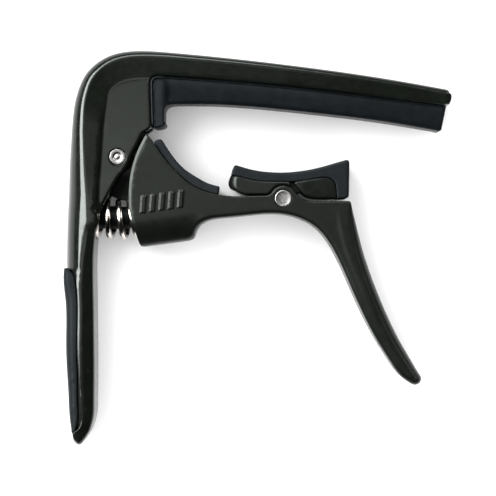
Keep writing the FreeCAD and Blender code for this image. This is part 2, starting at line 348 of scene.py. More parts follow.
def ring_mesh(name, verts, count):
    """A closed mesh through rings of count points each, with a cap at both ends."""
    last = len(verts) - count
    faces = [tuple(range(count))[::-1], tuple(range(last, len(verts)))]
    for start in range(0, last, count):
        for k in range(count):
            a, b = start + k, start + (k + 1) % count
            faces.append((a, b, b + count, a + count))
    mesh = bpy.data.meshes.new(name)
    mesh.from_pydata(verts, [], faces)
    return mesh


def prism(name, loop, half):
    """A plain closed prism, for cutting, that reaches half mm to both sides of the middle."""
    return ring_mesh(name, [place(*p, z) for z in (-half, half) for p in loop], len(loop))


def tube_cutter(name, start, angle, radius, length, lead=0.05):
    """A round bar through start in the profile plane, for cutting; it begins lead mm before it."""
    along = Vector((math.cos(angle), math.sin(angle), 0))
    across, count = Vector((-along.y, along.x, 0)), 48
    verts = []
    for end in (-lead, length):
        for i in range(count):
            turn = 2 * math.pi * i / count
            offset = across * math.cos(turn) + Vector((0, 0, 1)) * math.sin(turn)
            verts.append(place(*start) + (along * end + offset * radius) * MM)
    return ring_mesh(name, verts, count)


def carved(name, mesh, cutters):
    """A new mesh, called name: the mesh with each cutter taken out of it."""
    body = bpy.data.objects.new("carving", mesh)
    bpy.context.scene.collection.objects.link(body)
    tools = []
    for cutter in cutters:
        tool = bpy.data.objects.new("cutter", cutter)
        bpy.context.scene.collection.objects.link(tool)
        modifier = body.modifiers.new("cut", "BOOLEAN")
        modifier.operation = "DIFFERENCE"
        modifier.solver = "EXACT"
        modifier.object = tool
        tools.append(tool)
    bpy.context.view_layer.update()
    view = body.evaluated_get(bpy.context.evaluated_depsgraph_get())
    result = bpy.data.meshes.new_from_object(view)
    for obj in tools + [body]:
        bpy.data.objects.remove(obj)
    bpy.data.meshes.remove(mesh)
    result.name = name
    return result


# ---- materials -------------------------------------------------------------------------------
class Nodes:
    """A new node material with short calls to add and join nodes."""

    def __init__(self, name):
        self.material = bpy.data.materials.new(name)
        self.material.use_nodes = True
        self.tree = self.material.node_tree
        self.shader = self.tree.nodes["Principled BSDF"]
        self.place = self.add("ShaderNodeTexCoord").outputs["Object"]

    def add(self, kind, **values):
        node = self.tree.nodes.new(kind)
        for key, value in values.items():
            if hasattr(node, key):
                setattr(node, key, value)
            else:
                node.inputs[key.replace("_", " ")].default_value = value
        return node

    def join(self, source, target):
        self.tree.links.new(source, target)

    def noise(self, size, detail=3.0, rough=0.5):
        """Noise whose grains are about size mm across."""
        node = self.add("ShaderNodeTexNoise", Scale=1000.0 / size, Detail=detail, Roughness=rough)
        self.join(self.place, node.inputs["Vector"])
        return node.outputs["Fac"]

    def ramp(self, factor, low, high, start=0.0, end=1.0):
        node = self.add("ShaderNodeMapRange")
        self.join(factor, node.inputs["Value"])
        values = {"From Min": start, "From Max": end, "To Min": low, "To Max": high}
        for key, value in values.items():
            node.inputs[key].default_value = value
        return node.outputs["Result"]

    def blend(self, factor, a, b):
        node = self.add("ShaderNodeMix", data_type="RGBA")
        self.join(factor, node.inputs["Factor"])
        for socket, value in ((node.inputs[6], a), (node.inputs[7], b)):
            if hasattr(value, "is_linked"):
                self.join(value, socket)
            else:
                socket.default_value = (*value, 1)
        return node.outputs[2]

    def bump(self, height, strength, distance, base=None):
        node = self.add("ShaderNodeBump", Strength=strength, Distance=distance * MM)
        self.join(height, node.inputs["Height"])
        if base:
            self.join(base, node.inputs["Normal"])
        return node.outputs["Normal"]


def powder_coat(name, rough, gloss):
    """Satin black powder coat: a tiny orange peel, slightly mottled, worn thin on edges."""
    n = Nodes(name)
    mottle = n.ramp(n.noise(6.0, 2.0), 0.0, 1.0, 0.3, 0.7)
    colour = n.blend(mottle, (0.0011, 0.0015, 0.0010), (0.0019, 0.0025, 0.0017))
    edge = n.add("ShaderNodeNewGeometry").outputs["Pointiness"]
    worn = n.ramp(edge, 0.0, 1.0, 0.56, 0.68)
    n.join(n.blend(worn, colour, (0.006, 0.007, 0.005)), n.shader.inputs["Base Color"])
    n.join(n.ramp(n.noise(1.2, 4.0), *rough, 0.3, 0.7), n.shader.inputs["Roughness"])
    peel = n.bump(n.noise(0.34, 2.0, 0.45), 0.12, 0.04)
    n.join(n.bump(n.noise(0.09, 1.0), 0.07, 0.01, peel), n.shader.inputs["Normal"])
    n.shader.inputs["Specular IOR Level"].default_value = gloss
    n.shader.inputs["Specular Tint"].default_value = (0.93, 1.0, 0.95, 1)
    return n.material


DIAGONAL_WAVE = 0.4443                 # spacing in the profile plane of a wave texture of scale 1


def rubber(name, dark, light, rough, gloss, grain=0.16, hatch=None):
    """Moulded rubber with a fine grain; hatch adds the ribs of cut sheet, that many mm apart."""
    n = Nodes(name)
    colour = n.blend(n.ramp(n.noise(2.2, 3.0), 0, 1, 0.3, 0.7), dark, light)
    n.join(colour, n.shader.inputs["Base Color"])
    n.join(n.ramp(n.noise(0.8, 3.0), *rough, 0.3, 0.7), n.shader.inputs["Roughness"])
    normal = n.bump(n.noise(grain, 3.0, 0.6), 0.35, 0.05)
    if hatch:
        wave = n.add("ShaderNodeTexWave", Scale=DIAGONAL_WAVE / (hatch * MM), Distortion=1.6,
                     Detail=2.0)
        wave.bands_direction = "DIAGONAL"
        n.join(n.place, wave.inputs["Vector"])
        normal = n.bump(wave.outputs["Fac"], 0.30, 0.06, normal)
    n.join(normal, n.shader.inputs["Normal"])
    n.shader.inputs["Specular IOR Level"].default_value = gloss
    n.shader.inputs["Specular Tint"].default_value = (0.86, 0.96, 0.98, 1)
    return n.material


def bright_metal(name, colour, rough, scratch_size, scratch):
    """Turned or plated metal with fine marks."""
    n = Nodes(name)
    dull = tuple(0.82 * c for c in colour)
    n.join(n.blend(n.noise(1.1, 4.0), colour, dull), n.shader.inputs["Base Color"])
    smear = n.ramp(n.noise(0.5, 5.0, 0.6), rough * 0.7, rough * 1.4, 0.3, 0.7)
    n.join(smear, n.shader.inputs["Roughness"])
    n.join(n.bump(n.noise(scratch_size, 4.0, 0.6), scratch, 0.03), n.shader.inputs["Normal"])
    n.shader.inputs["Metallic"].default_value = 1.0
    return n.material


COAT = powder_coat("powder_coat_black", rough=(0.17, 0.24), gloss=0.35)
MATT_COAT = powder_coat("powder_coat_matt", rough=(0.29, 0.37), gloss=0.215)
PAD_RUBBER = rubber("pad_rubber", (0.0012, 0.0018, 0.0022), (0.0022, 0.0030, 0.0036),
                    rough=(0.38, 0.48), gloss=0.135)
STRIP_RUBBER = rubber("strip_rubber", (0.0022, 0.0028, 0.0035), (0.0040, 0.0048, 0.0060),
                      rough=(0.42, 0.52), gloss=0.11, hatch=1.1725)
GRIP_RUBBER = rubber("grip_rubber", (0.0024, 0.0033, 0.0038), (0.0038, 0.0050, 0.0056),
                     rough=(0.42, 0.52), gloss=0.085, grain=0.12)
NYLON = rubber("black_nylon", (0.0010, 0.0010, 0.0010), (0.0018, 0.0018, 0.0018),
               rough=(0.5, 0.6), gloss=0.1)
STEEL = bright_metal("pin_steel", (0.25, 0.247, 0.239), 0.33, scratch_size=0.5, scratch=0.28)
NICKEL = bright_metal("spring_nickel", (0.66, 0.625, 0.59), 0.16, scratch_size=0.3, scratch=0.06)
BRONZE = bright_metal("bush_bronze", (0.55, 0.38, 0.20), 0.4, scratch_size=0.3, scratch=0.1)


# ---- frame casting ---------------------------------------------------------------------------
OUTLINE = [                            # u, v, how far inside it the crease runs, width of the facet
    (68.9, 13.9, 0.75, 0.50), (60.5, 15.4, 0.75, 0.50), (50.4, 17.0, 0.75, 0.50),
    (40.2, 18.4, 0.75, 0.50), (30.0, 19.65, 0.75, 0.50), (19.9, 20.75, 0.80, 0.50),
    (11.0, 21.6, 0.90, 0.45), (4.6, 21.95, 1.10, 0.42), (1.4, 21.7, 1.2, 0.42),
    (-1.5, 20.9, 1.3, 0.45), (-4.5, 19.1, 1.45, 0.50), (-6.5, 16.95, 1.55, 0.55),
    (-7.7, 14.6, 1.7, 0.60), (-8.6, 11.7, 1.85, 0.60), (-9.4, 5.2, 2.1, 0.70),
    (-9.85, -0.5, 2.65, 0.80), (-10.2, -8.0, 3.1, 1.20), (-10.5, -15.0, 3.0, 1.90),
    (-10.6, -23.1, 3.0, 1.80)]
GRIP_SEAT = [(-8.2, -25.8), (-7.9, -29.0), (-7.9, -40.0), (-7.6, -46.0), (-7.25, -51.0),
             (-7.1, -54.0), (-7.5, -56.3), (-8.9, -57.45)]
SEAT_FACET = (1.8, 1.7, 1.6, 1.5, 1.4, 1.2, 0.4, 0.1)
HANDLE_INNER = [(-5.3, -57.0), (-4.6, -54.5), (-4.4, -51.0), (-4.35, -46.0), (-4.4, -38.0),
                (-4.5, -30.0), (-4.6, -24.0), (-4.5, -19.5), (-4.2, -16.0)]
CHEEK = [(-4.2, -16.0), (-3.9, -14.6), (-3.35, -12.0), (-2.45, -10.0), (-1.35, -8.0), (-0.3, -6.0),
         (1.0, -4.0), (2.0, -2.8), (2.75, -1.5), (3.35, 0.0), (4.4, 2.0), (5.4, 4.0), (5.85, 4.9)]
WALL_FOOT, WALL_TOP, WALL_CORNER = (7.35, 6.0), (7.1, 15.0), (7.5, 16.25)
UNDERSIDE = [(8.7, 16.75), (29.9, 15.1), (48.9, 13.0), (67.9, 10.65)]
PLATFORM = Line(np.vstack([
    [(12.0, 15.2)],
    spline([(6.9, 15.9), (3.6, 15.6), (0.0, 14.3), (-1.2, 13.0), (-1.8, 11.0), (-2.5, 7.0),
            (-2.8, 3.0), (-3.0, 0.0), (-3.2, -3.0), (-3.4, -5.0), (-3.6, -9.4)]),
    [(-3.5, -12.0), (-3.0, -13.5)]]))
PLATFORM_DROP = 0.8                    # how far the platform lies below the top
HINGE_HOLE_R, TONGUE_ROOM_R, TONGUE_ROOM = 1.72, 6.2, 2.85    # TONGUE_ROOM is half the slot's width
HOLLOW_WIDTH, HOLLOW_DEPTH = 2.9, 0.85     # the hollow along the handle's inner edge
GRIP_BEGINS = -27.0                    # below this the crease runs along the grip's seat


def thinner(along, start, length):
    """What the half thickness loses towards the far end of the bar, the handle and the trigger."""
    return 0.5 * smoothstep((along - start) / length)


def frame_ridge():
    """The crease along the outer edge, from the bar's end round to the handle and down the grip."""
    u, v, wide, facet = zip(*OUTLINE)
    outer, seat = Edge(list(zip(u, v)), wide), Edge(GRIP_SEAT)
    below = seat.points[:, 1] < GRIP_BEGINS
    points = np.vstack([Line(outer.points).left(outer.wide), seat.points[below]])
    facets = [outer.along(list(zip(u, v)), facet), seat.along(GRIP_SEAT, SEAT_FACET)[below]]
    widths = [outer.wide, np.full(below.sum(), wide[-1])]
    fade = 0.35 + 0.65 * smoothstep((-17 - points[:, 1]) / 8)
    return Ridge(points, np.concatenate(widths), np.concatenate(facets), fade)


RIDGE = frame_ridge()
INNER_EDGE = Line(spline(HANDLE_INNER))


def frame_edges():
    return [
        Edge(UNDERSIDE, 0.3),
        Edge([UNDERSIDE[-1], (69.3, 10.75)], 0.3),
        Edge([(69.3, 10.75), (69.8, 12.0), (69.6, 13.1), (68.9, 13.9)], (0.4, 0.6, 0.5, 0.2)),
        Edge([row[:2] for row in OUTLINE], 0.12),
        Edge([(-10.6, -23.1), (-9.3, -23.8), (-8.6, -24.7), GRIP_SEAT[0]], 0.25),
        Edge(GRIP_SEAT, 0.16),
        Edge([GRIP_SEAT[-1], (-8.95, -58.6), (-8.5, -59.6), (-7.7, -60.1), (-6.4, -58.9),
              HANDLE_INNER[0]], (0.3, 0.8, 1.2, 1.3, 0.9, 0.5), (0.4, 1.4, 2.0, 2.0, 1.4, 0.6)),
        Edge(HANDLE_INNER, 0.55, 0.7),
        Edge(CHEEK, 0.65, 0.5),
        Edge([CHEEK[-1], (6.6, 5.3), WALL_FOOT], 0.5, 0.4),
        Edge([WALL_FOOT, WALL_TOP], 0.3),
        Edge([WALL_TOP, WALL_CORNER, UNDERSIDE[0]], 0.3),
    ]


def frame_height(q):
    """Half thickness: the crease and its facet, a band that sinks inwards, and the platform."""
    u, v = q[:, 0], q[:, 1]
    past = np.clip(RIDGE.line.past(q), 0, 7)
    slope = 0.09 + 0.08 * smoothstep((v - 6) / 8) - 0.04 * smoothstep((-4 - v) / 8)
    band = TOP - slope * past
    near_inner_edge = np.clip(1 - INNER_EDGE.past(q) / HOLLOW_WIDTH, 0, 1)
    hollow = HOLLOW_DEPTH * smoothstep((-11 - v) / 8) * near_inner_edge ** 1.3
    level = smoothstep((PLATFORM.past(q) + 0.65) / 0.8)    # 1 on the platform, 0 off it
    ends = thinner(u, 45, 25) + thinner(-v, 36, 24)
    return (1 - level) * (band - hollow) + level * (TOP - PLATFORM_DROP) - ends - RIDGE.drop(q)


# The spring leaves its seat in the handle at SEAT_TURN and enters the lever's bore at BORE_RISE.
SPRING_SEAT, BORE_MOUTH, BORE_RISE = (-4.7, -12.55), (3.3, -12.95), math.radians(6.0)
BORE_DEPTH, BORE_R, COIL_OUTER_R, WIRE_R = 9.6, 4.6, 4.3, 0.625
CHORD_TURN = math.atan2(BORE_MOUTH[1] - SPRING_SEAT[1], BORE_MOUTH[0] - SPRING_SEAT[0])
SEAT_TURN = 2 * CHORD_TURN - BORE_RISE


def build_frame():
    mesh = slab_mesh("frame_casting", frame_edges(), frame_height,
                     holes=[(HINGE, HINGE_HOLE_R, 0.18)], grid=0.8,
                     features=RIDGE.rows() + [(PLATFORM.p, (-0.6, -0.4, -0.2, 0.0, 0.2, 0.5)),
                                              (INNER_EDGE.p, (0.6, 0.85, 1.2, 1.7, 2.2, 2.8))])
    slot = np.vstack([arc(HINGE, TONGUE_ROOM_R, 90, 180),
                      [(-5.6, -10.2), (9, -10.2), (9, HINGE[1] + TONGUE_ROOM_R)]])
    seat = tube_cutter("seat", SPRING_SEAT, SEAT_TURN, COIL_OUTER_R + 0.3, 7)
    mesh = carved("frame_casting", mesh, [prism("slot", slot, TONGUE_ROOM), seat])
    piece(mesh, "frame", "frame", COAT)


# ---- lever casting ---------------------------------------------------------------------------
PAD_SEAT = [(21.3, -8.0), (17.9, -7.05), (15.5, -5.8), (13.0, -3.75), (10.6, -1.1), (8.0, 2.65)]
TRIGGER = [                            # u, v, width and depth of the rounding
    (21.5, -12.85, 0.8, 0.7), (26.7, -12.35, 0.8, 0.7), (34.2, -12.0, 0.8, 0.7),
    (36.5, -12.4, 0.8, 0.7), (39.3, -13.4, 0.8, 0.7), (41.8, -15.0, 0.8, 0.75),
    (44.3, -17.95, 0.85, 0.8), (46.8, -22.6, 0.9, 0.8), (49.4, -28.5, 0.9, 0.8),
    (51.85, -33.8, 0.9, 0.8), (54.3, -38.4, 0.9, 0.9), (56.8, -42.4, 1.0, 1.0),
    (59.4, -45.9, 1.0, 1.2), (61.0, -47.1, 1.0, 1.4), (62.3, -47.6, 1.0, 1.6),
    (63.3, -47.1, 1.1, 1.8), (63.6, -46.3, 1.3, 1.9), (63.1, -45.2, 1.5, 2.0),
    (61.4, -42.4, 1.8, 2.2), (59.1, -38.4, 2.0, 2.4), (57.0, -34.2, 2.1, 2.4),
    (54.7, -28.9, 2.1, 2.4), (52.8, -23.9, 2.1, 2.4), (51.2, -18.9, 1.8, 2.1),
    (49.35, -11.8, 1.0, 1.1), (49.1, -10.8, 0.6, 0.6), (48.9, -9.8, 0.4, 0.4)]
CROWN = Line(spline([(46.2, -9.5), (46.6, -13.0), (47.5, -17.5), (49.0, -22.0), (51.2, -27.5),
                     (53.4, -33.0), (56.0, -38.0), (59.0, -43.0), (61.3, -45.8)]))
EAR_R, EAR_RIGHT, EAR_LEFT = 2.7, 27, 154
EAR_HOLE_R, WEB_ROOM_R, WEB_ROOM = 1.83, 2.7, 3.7             # WEB_ROOM is half the slot's width
BARREL_R, BARREL_REACH = 8.0, 6.2      # the barrel's rounding, and how far down it goes
VALLEY_WIDTH, VALLEY_DEPTH = 0.85, 0.10    # the step down inside the trigger's crown
TONGUE_R, TONGUE_HOLE_R, TONGUE_HALF = 5.6, 2.4, 2.5


def lever_edges():
    ear = arc(SHOE_PIN, EAR_R, EAR_RIGHT, EAR_LEFT, 0.9).tolist()
    return [
        Edge([(6.45, 4.6), (5.1, 2.1), (3.9, -0.9), (3.15, -4.0), (2.85, -6.6), (2.8, -9.2),
              (3.0, -11.8), (3.6, -14.2), (4.9, -18.2)], 0.52, 0.21, plain=0.9),
        Edge([(4.9, -18.2), (5.2, -18.7), (5.7, -18.85)], 0.5, (0.3, 0.7, 1.1)),
        Edge([(5.7, -18.85), (10.6, -18.2), (14.9, -17.6)], 0.5, 1.1),
        Edge([(14.9, -17.6), (16.2, -17.0), (16.6, -15.8), (17.8, -14.1), (19.3, -13.3),
              (21.5, -12.85)],
             (0.5, 0.9, 1.0, 1.0, 0.9, 0.8), (1.1, 1.6, 1.5, 1.2, 0.9, 0.7)),
        Edge([row[:2] for row in TRIGGER], *zip(*[row[2:] for row in TRIGGER])),
        Edge([(48.9, -9.8), (48.7, -9.45), (48.2, -9.35)], 0.4),
        Edge([(48.2, -9.35), (42.4, -9.4), (40.4, -9.35), (39.1, -9.0), (38.1, -8.4), ear[0]],
             0.35),
        Edge(ear, 0.4, 0.3),
        Edge([ear[-1], (31.6, -8.2)], 0.3),
        Edge([(31.6, -8.2), (27.5, -8.3), (25.5, -8.4), (23.5, -8.3), (21.3, -8.0)], 0.3),
        Edge(PAD_SEAT, 0.22), Edge([PAD_SEAT[-1], (6.45, 4.6)], 0.22),
    ]


def motif(q):
    """Five short slanted bars raised on the fan plate, a plain maker's pattern."""
    centre, slope, slant = np.array((9.7, -9.5)), math.radians(8), 0.22
    count, spacing, half_width, half_length, height = 5, 1.95, 0.62, 1.85, 0.22
    turn = np.array([(math.cos(slope), -math.sin(slope)), (math.sin(slope), math.cos(slope))])
    x, y = ((q - centre) @ turn).T
    rise = np.zeros(len(q))
    for i in range(count):
        across = np.abs(x - spacing * (i - (count - 1) / 2) - slant * y)
        flank = smoothstep((half_width - across) / 0.22)
        end = smoothstep((half_length - np.abs(y)) / 0.25)
        rise = np.maximum(rise, flank * end)
    return height * rise


def lever_height(q):
    """Half thickness: flat plate and arm, the barrel's round lower side, the trigger's crown."""
    u, v = q[:, 0], q[:, 1]
    plate_end = 0.13 * (u - 5) - 12.9  # below this v the barrel curves away
    below = np.clip(plate_end - v, 0, BARREL_REACH)
    barrel = (BARREL_R - np.sqrt(BARREL_R ** 2 - below ** 2)) * (1 - smoothstep((u - 15.5) / 3))
    past = CROWN.past(q)
    valley = VALLEY_DEPTH * (1 - smoothstep((past + VALLEY_WIDTH) / VALLEY_WIDTH))
    far_side = 0.02 * np.clip(past, 0, 3) ** 2
    trigger = smoothstep((-10 - v) / 6) * smoothstep((u - 40) / 5) * (valley + far_side)
    return LEVER_TOP - barrel - trigger - thinner(-v, 24, 24) + motif(q)


def build_lever():
    mesh = slab_mesh("lever_casting", lever_edges(), lever_height,
                     holes=[(SHOE_PIN, EAR_HOLE_R, 0.1)], grid=0.8,
                     features=[(CROWN.p, (-1.3, -0.85, -0.6, -0.4, -0.2, 0.0, 0.4, 0.8, 1.2))],
                     fine=[((4.4, -12.6), (15.2, -6.2), 0.16), ((3.2, -18.6), (18.0, -12.6), 0.4)])
    left, right = SHOE_PIN[0] - WEB_ROOM_R, SHOE_PIN[0] + WEB_ROOM_R
    web_slot = np.vstack([[(left, -5.0)], arc(SHOE_PIN, WEB_ROOM_R, 180, 360), [(right, -5.0)]])
    bore = tube_cutter("bore", BORE_MOUTH, BORE_RISE, BORE_R, BORE_DEPTH, 6)
    mesh = carved("lever_casting", mesh, [prism("web_slot", web_slot, WEB_ROOM), bore])
    piece(mesh, "lever", "lever", MATT_COAT)


def build_tongue():
    """The thinner tongue that carries the hinge; it runs into the fan plate."""
    round_end = arc(HINGE, TONGUE_R, 90, 240, 1.0).tolist()
    corners = [(-1.2, -8.2), (0.4, -8.95), (2.6, -9.2), (4.4, -9.25), (4.4, 3.8), round_end[0]]
    edges = [Edge(round_end + [(-2.4, -5.05)], 0.3), Edge([(-2.4, -5.05), corners[0]], 0.3)]
    edges += [Edge(pair, 0.3) for pair in zip(corners, corners[1:])]
    mesh = slab_mesh("lever_tongue", edges,
                     lambda q: TONGUE_HALF - 0.2 * np.clip(-3.5 - q[:, 1], 0, 5),
                     holes=[(HINGE, TONGUE_HOLE_R, 0.1)])
    obj = shown(mesh, MATT_COAT)
    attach(obj, "lever")


# ---- soft pads -------------------------------------------------------------------------------
BEAD = 0.25                            # the bead stands this proud, and the groove is as deep
RIB_HALF = 3.6                         # half the thickness of the rib under the handle's grip


def build_string_pad():
    """The L-shaped pad: a thin bead along the metal, a proud leg, sides drawn in at the strings."""
    seat = [(67.9, 10.6), (48.9, 12.95), (29.9, 15.05), (8.7, 16.7)]
    corner, leg = [(8.7, 16.7), (7.55, 16.2), (7.15, 15.0)], [(7.15, 15.0), (7.4, 6.4)]
    edges = [
        Edge([leg[-1], (7.9, 6.1), (8.4, 5.9), (9.4, 6.05), (10.2, 6.4), (10.35, 6.9), (10.1, 7.2)],
             0.35),
        Edge([(10.1, 7.2), (10.1, 9.4)], 0.4),
        Edge([(10.1, 9.4), (10.4, 10.2), (10.9, 10.6), (11.8, 10.85), (13.0, 10.9)],
             (0.4, 0.45, 0.5, 0.6, 0.8), (0.4, 0.45, 0.5, 0.5, 0.6)),
        Edge([(13.0, 10.9), (20.0, 10.85), (29.2, 10.3), (39.3, 9.3), (49.4, 8.15), (59.4, 6.7),
              (66.8, 5.4)], 0.9, 0.7),
        Edge([(66.8, 5.4), (67.5, 5.3), (67.9, 5.6)], 0.6), Edge([(67.9, 5.6), (68.8, 10.5)], 0.5),
        Edge([(68.8, 10.5), seat[0]], 0.2), Edge(seat, 0.28, 0.12, 0.9),
        Edge(corner, 0.28, 0.12, 0.9), Edge(leg, 0.28, 0.12, 0.9),
    ]
    top = Line(np.vstack([spline(seat), spline(corner)[1:], spline(leg)[1:]]))

    def height(q):
        u = q[:, 0]
        below = top.nearest(q)[0]
        bead = BEAD * (1 - smoothstep((below - 0.34) / 0.2))
        bar = smoothstep((u - 9.8) / 1.3)      # 1 along the bar, 0 on the leg
        groove = BEAD * (1 - bar)
        groove = groove * smoothstep((below - 0.45) / 0.15) * smoothstep((0.95 - below) / 0.15)
        taper = bar * (0.35 + 1.2 * smoothstep((below - 0.5) / 6))
        return PAD_TOP - BEAD + bead - groove - taper - thinner(u, 45, 25)

    mesh = slab_mesh("string_pad_moulded", edges, height, grid=0.55,
                     features=[(top.p, (0.22, 0.34, 0.44, 0.55, 0.7, 0.85, 0.97, 1.3))])
    piece(mesh, "frame", "string_pad", PAD_RUBBER)


def build_grip():
    edges = [
        Edge([(-10.7, -23.3), (-10.85, -24.4), (-10.55, -30.0), (-10.45, -40.0), (-9.95, -50.0),
              (-9.6, -55.0), (-9.2, -57.2)],
             (0.5, 1.0, 1.5, 1.6, 1.5, 1.2, 0.6), (0.6, 1.4, 2.3, 2.5, 2.3, 1.8, 0.8)),
        Edge([(-9.2, -57.2), (-8.95, -57.7), (-8.6, -57.45)], 0.3),
        Edge([(-8.6, -57.45), (-8.0, -55.6), (-7.9, -52.0), (-7.95, -46.0), (-8.05, -40.0),
              (-8.05, -29.0), (-8.4, -25.8)], 0.25),
        Edge([(-8.4, -25.8), (-8.7, -24.8), (-9.4, -23.95), (-10.7, -23.3)], 0.3),
    ]
    mesh = slab_mesh("handle_grip_moulded", edges, lambda q: GRIP_TOP - thinner(-q[:, 1], 36, 24),
                     grid=0.6)
    piece(mesh, "frame", "handle_grip", GRIP_RUBBER)


def build_grip_rib():
    """The thin rib of the casting that the grip is moulded onto; it shows as a dark gap."""
    edges = [
        Edge([(-8.7, -25.5), (-8.7, -40.0), (-8.5, -52.0), (-8.4, -56.6)], 0.2),
        Edge([(-8.4, -56.6), (-7.3, -56.6)], 0.2),
        Edge([(-7.3, -56.6), (-7.0, -54.0), (-7.2, -51.0), (-7.7, -40.0), (-7.7, -25.5)], 0.2),
        Edge([(-7.7, -25.5), (-8.7, -25.5)], 0.2),
    ]
    mesh = slab_mesh("frame_grip_rib", edges, level_at(RIB_HALF))
    piece(mesh, "frame", "frame", COAT)


def build_lever_pad():
    seat = [(u + 0.03, v + 0.04) for u, v in PAD_SEAT[::-1]]
    edges = [
        Edge(seat, 0.2), Edge([seat[-1], (21.5, -6.3)], 0.3),
        Edge([(21.5, -6.3), (19.1, -5.6), (16.7, -4.3), (14.2, -2.6), (11.8, 0.05), (9.9, 2.8)],
             0.4),
        Edge([(9.9, 2.8), (9.55, 3.4), (8.9, 3.45), (8.2, 3.1), seat[0]], 0.3),
    ]
    mesh = slab_mesh("lever_pad_strip", edges, level_at(PAD_TOP), grid=0.45)
    piece(mesh, "lever", "lever_pad", STRIP_RUBBER)


# ---- shoe ------------------------------------------------------------------------------------
# The shoe's face under the pad, from left to right, and its round right end.
SHOE_LINE = [(24.0, -3.95), (26.5, -4.45), (28.2, -4.9), (30.5, -5.2), (34.5, -5.3), (38.3, -5.2),
             (41.8, -4.6)]
SHOE_ROUND = [(43.3, -4.42), (44.6, -4.65), (45.45, -5.4), (45.85, -6.8), (46.0, -8.75)]
WEB_EYE_R, WEB_HOLE_R, WEB_HALF = 2.45, 1.84, 3.5


def shoe_web():
    """The thin web between the ears, with its eye round the shoe pin."""
    foot = arc(SHOE_PIN, WEB_EYE_R, 180, 340, 0.8).tolist()
    edges = [
        Edge([(28.6, -5.1), (28.4, -7.6)], 0.3), Edge([(28.4, -7.6), (31.3, -7.9)], 0.3),
        Edge([(31.3, -7.9), (32.0, -7.7), foot[0]], 0.3), Edge(foot, 0.3),
        Edge([foot[-1], (38.4, -7.6), (39.3, -7.9), (42.0, -8.5)], 0.3),
        Edge([(42.0, -8.5), (42.0, -4.7)], 0.3),
        Edge(SHOE_LINE[:1:-1] + [(28.6, -5.1)], 0.3),
    ]
    return slab_mesh("shoe_web", edges, level_at(WEB_HALF), grid=0.6,
                     holes=[(SHOE_PIN, WEB_HOLE_R, 0.1)])


def shoe_block():
    """The solid right end, which the pad wraps."""
    edges = [
        Edge([(37.3, -5.33), (37.15, -5.7)], 0.2),
        Edge([(37.15, -5.7), (37.5, -6.3), (38.3, -7.3), (39.3, -8.2), (40.5, -8.65),
              (42.0, -8.85)], 0.45),
        Edge([(42.0, -8.85), (45.7, -8.85)], 0.45),
        Edge([(45.7, -8.85), (45.9, -8.85), (46.0, -8.7)], 0.2),
        Edge([(46.0, -8.7)] + SHOE_ROUND[:-1][::-1] + [SHOE_LINE[-1]], 0.35),
        Edge([SHOE_LINE[-1], SHOE_LINE[-2], (37.3, -5.33)], 0.35),
    ]
    return slab_mesh("shoe_block", edges, lambda q: SHOE_TOP - 0.1 * np.clip(q[:, 0] - 39, 0, 7),
                     grid=0.5)


def shoe_left():
    """The left end at full width, hollowed round the ear, with a crease near its end."""
    gap = arc(SHOE_PIN, EAR_R + 0.25, 156, 62, 0.8).tolist()
    edges = [
        Edge([SHOE_LINE[0], (23.55, -4.9), (23.4, -5.8), (23.7, -6.5), (24.6, -7.0)], 0.15),
        Edge([(24.6, -7.0), (25.9, -7.65), (27.4, -8.0)], 0.35),
        Edge([(27.4, -8.0), (31.3, -7.95)], 0.35), Edge([(31.3, -7.95), gap[0]], 0.3),
        Edge(gap, 0.3), Edge([gap[-1], (36.2, -5.32)], 0.2),
        Edge([(36.2, -5.32)] + SHOE_LINE[4::-1], 0.35),
    ]
    line = spline([(25.1, -3.6), (24.75, -4.4), (24.6, -5.6), (24.75, -6.6), (25.2, -7.4)])
    crease = Ridge(line, wide=1.25, facet=0.5)
    return slab_mesh("shoe_left", edges, lambda q: SHOE_TOP - crease.drop(q), grid=0.5,
                     features=crease.rows())


def build_rocker():
    for mesh in (shoe_web(), shoe_block(), shoe_left()):
        piece(mesh, "rocker", "rocker", MATT_COAT)


def build_rocker_pad():
    edges = [
        Edge(SHOE_LINE + SHOE_ROUND, 0.2),
        Edge([SHOE_ROUND[-1], (46.2, -8.88), (46.6, -8.9)], 0.2),
        Edge([(46.6, -8.9), (47.8, -8.85)], 0.4),
        Edge([(47.8, -8.85), (48.35, -8.5), (48.5, -7.8)], 0.5),
        Edge([(48.5, -7.8), (48.6, -1.4)], 0.6),
        Edge([(48.6, -1.4), (48.4, -0.9), (47.8, -0.8)], 0.5),
        Edge([(47.8, -0.8), (45.4, -1.5), (42.4, -2.35), (38.4, -3.12), (35.0, -3.4), (32.4, -3.35),
              (29.0, -2.95), (27.3, -2.55), (25.3, -1.95)], 0.45),
        Edge([(25.3, -1.95), (24.9, -1.9), (24.6, -2.1)], 0.4),
        Edge([(24.6, -2.1), (24.3, -2.7), SHOE_LINE[0]], 0.3),
    ]
    mesh = slab_mesh("rocker_pad_moulded", edges, level_at(PAD_TOP), grid=0.5)
    piece(mesh, "rocker", "rocker_pad", PAD_RUBBER)


# ---- pins and spring -------------------------------------------------------------------------
def lathe(name, centre, profile, count=64):
    """A closed solid turned about a Z axis: profile is (radius, z) from the lower axis up."""
    verts, faces, rings = [], [], []
    for radius, z in profile:
        if radius < 1e-6:
            rings.append([len(verts)])
            verts.append(place(*centre, z))
            continue
        rings.append(list(range(len(verts), len(verts) + count)))
        for i in range(count):
            turn = 2 * math.pi * i / count
            u, v = centre[0] + radius * math.cos(turn), centre[1] + radius * math.sin(turn)
            verts.append(place(u, v, z))
    for low, high in zip(rings, rings[1:]):
        for i in range(count):
            j = (i + 1) % count
            face = [low[i % len(low)], low[j % len(low)], high[j % len(high)], high[i % len(high)]]
            faces.append(tuple(dict.fromkeys(face)))
    mesh = bpy.data.meshes.new(name)
    mesh.from_pydata(verts, [], faces)
    return mesh


